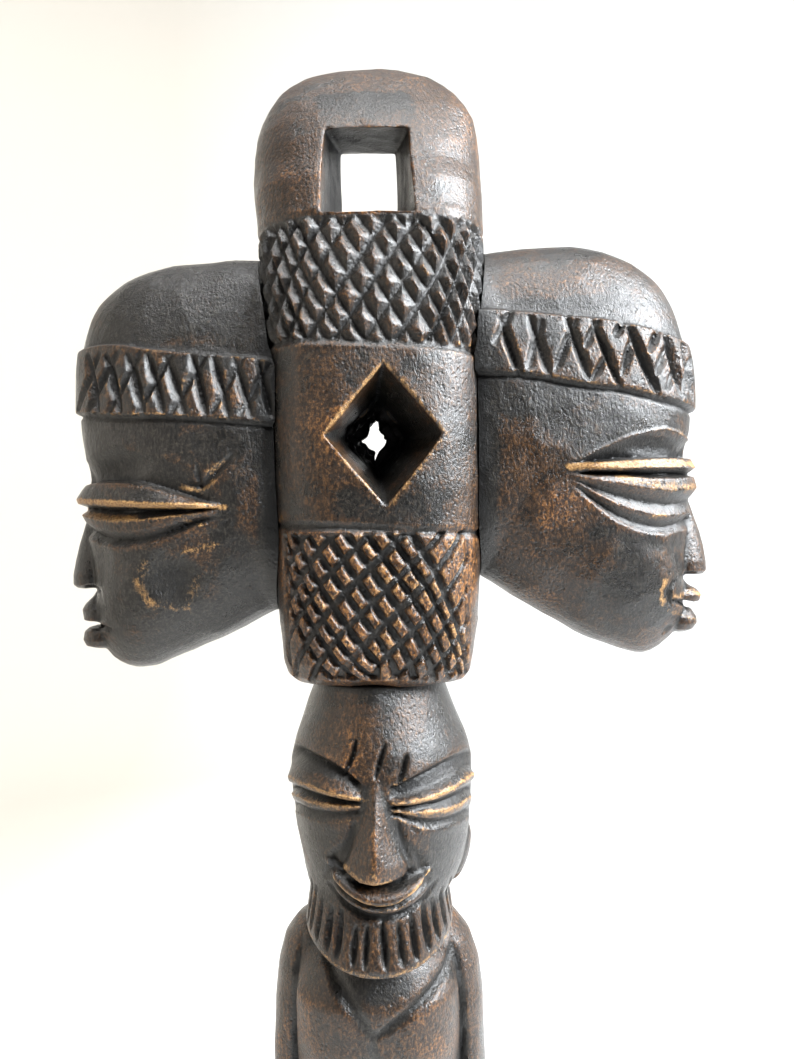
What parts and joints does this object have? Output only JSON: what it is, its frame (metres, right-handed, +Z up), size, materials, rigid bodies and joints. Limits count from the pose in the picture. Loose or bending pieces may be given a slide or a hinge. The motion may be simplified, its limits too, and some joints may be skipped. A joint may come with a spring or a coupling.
{
  "type": "carved wooden figure",
  "caption": "Carved dark wood figure of a bearded man under a tall pierced headdress with a profile head on each side, on a plinth; a standing ornament.",
  "frame": {"origin": "centre of the felt's underside, on the surface that the plinth stands on", "axes": "+Z up; the bearded man faces -Y; +X is at the viewer's right when looking at the front"},
  "size_m": [0.2346, 0.108, 0.609],
  "materials": {
    "figure_wood": "black-brown stained carved wood, rubbed to a soft shine, worn to golden brown on edges",
    "post_wood": "black-brown stained carved wood, rubbed to a soft shine, worn to golden brown on edges",
    "head_wood": "black-brown stained carved wood with redder rubbed patches",
    "plinth_wood": "black-brown stained wood, satin",
    "raw_wood": "bare turned dowel",
    "screw_steel": "plain zinc-plated steel",
    "felt": "dark green felt"
  },
  "bodies": {
    "root": {"bearded_figure": "figure_wood", "headdress_post": "post_wood", "left_profile_head": "head_wood", "right_profile_head": "head_wood", "crown_tenon": "raw_wood", "plinth": "plinth_wood", "felt_sheet": "felt", "left_peg_lower": "raw_wood", "left_peg_upper": "raw_wood", "left_plinth_screw": "screw_steel", "right_peg_lower": "raw_wood", "right_peg_upper": "raw_wood", "right_plinth_screw": "screw_steel"}
  },
  "joints": []
}
